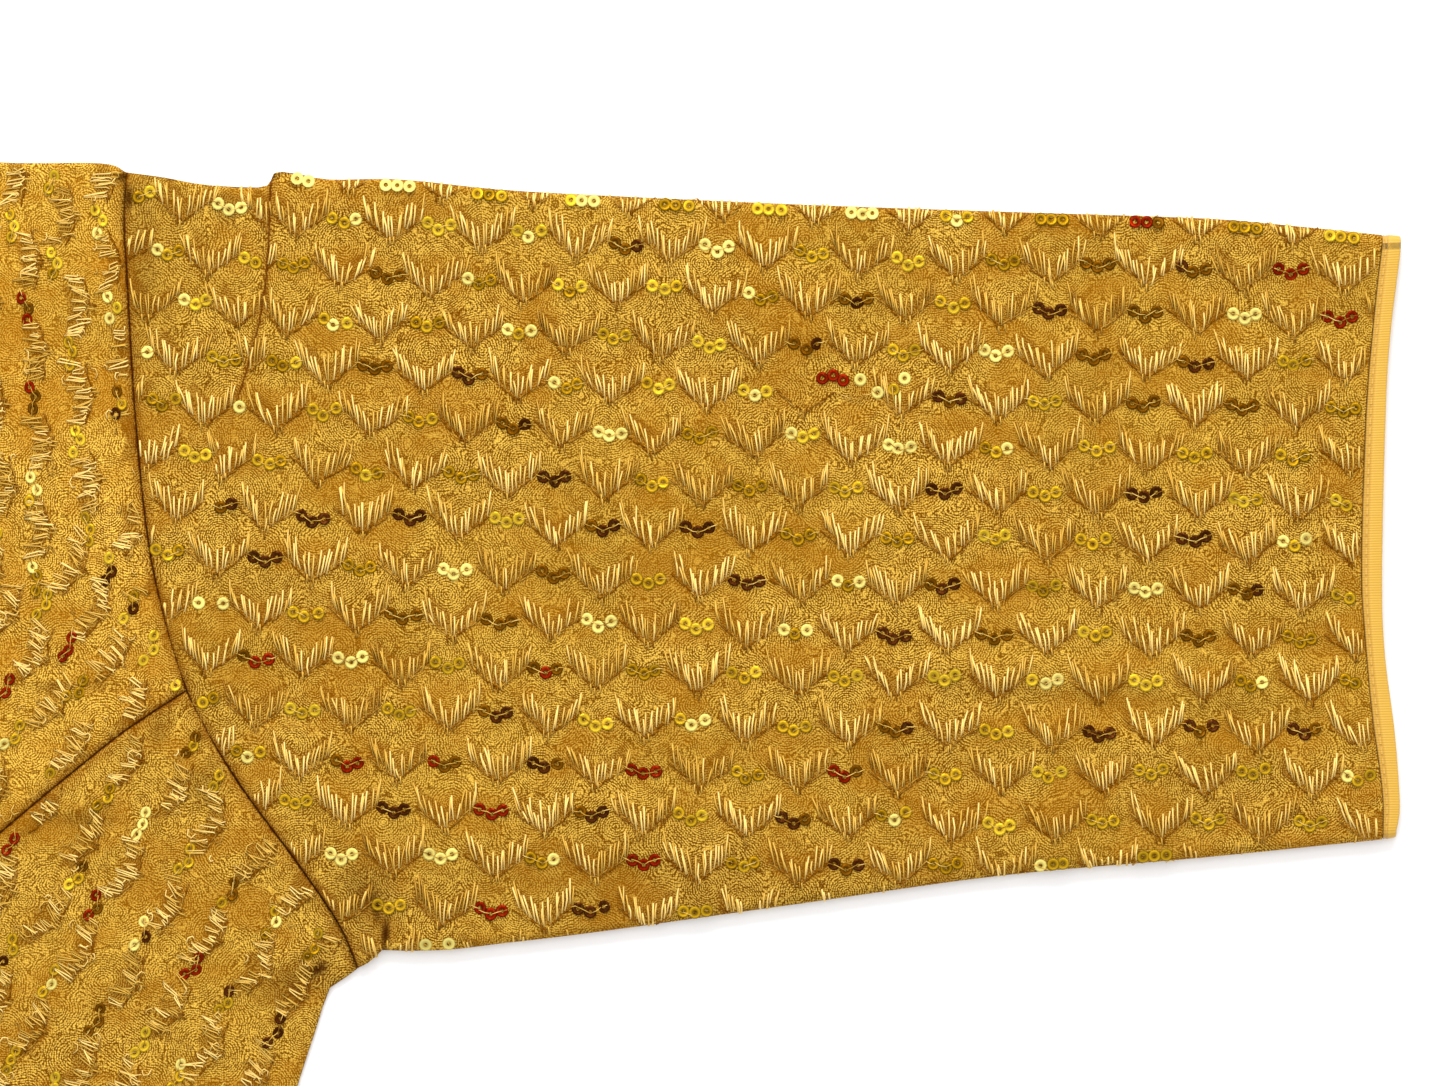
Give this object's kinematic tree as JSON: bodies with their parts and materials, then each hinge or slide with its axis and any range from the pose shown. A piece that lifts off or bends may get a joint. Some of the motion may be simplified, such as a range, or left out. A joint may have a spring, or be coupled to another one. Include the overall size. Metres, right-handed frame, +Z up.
{
  "type": "choli blouse",
  "caption": "Short, round-necked choli blouse with elbow-length sleeves, sewn with thread chevrons and ring sequins, laid flat with its front up.",
  "frame": {"origin": "on the table, under the middle of the garment's bounding box", "axes": "+X towards the wearer's left sleeve, +Y towards the neck, +Z up from the table, out of the front"},
  "size_m": [0.988, 0.3658, 0.0061],
  "materials": {
    "embroidered_georgette": "crinkled gold georgette with thread chevrons and sequins",
    "gold_satin": "satin strip",
    "brass_wire": "bright wire"
  },
  "bodies": {
    "root": {"back": "embroidered_georgette", "front_centre_left": "embroidered_georgette", "front_centre_right": "embroidered_georgette", "front_side_left": "embroidered_georgette", "front_side_right": "embroidered_georgette", "sleeve_left": "embroidered_georgette", "sleeve_right": "embroidered_georgette", "cuff_binding_left": "gold_satin", "cuff_binding_right": "gold_satin", "neck_binding_front_left": "gold_satin", "neck_binding_front_right": "gold_satin", "neck_binding_back": "gold_satin", "hook_1": "brass_wire", "hook_2": "brass_wire", "hook_3": "brass_wire", "hook_4": "brass_wire", "hook_5": "brass_wire"}
  },
  "joints": []
}
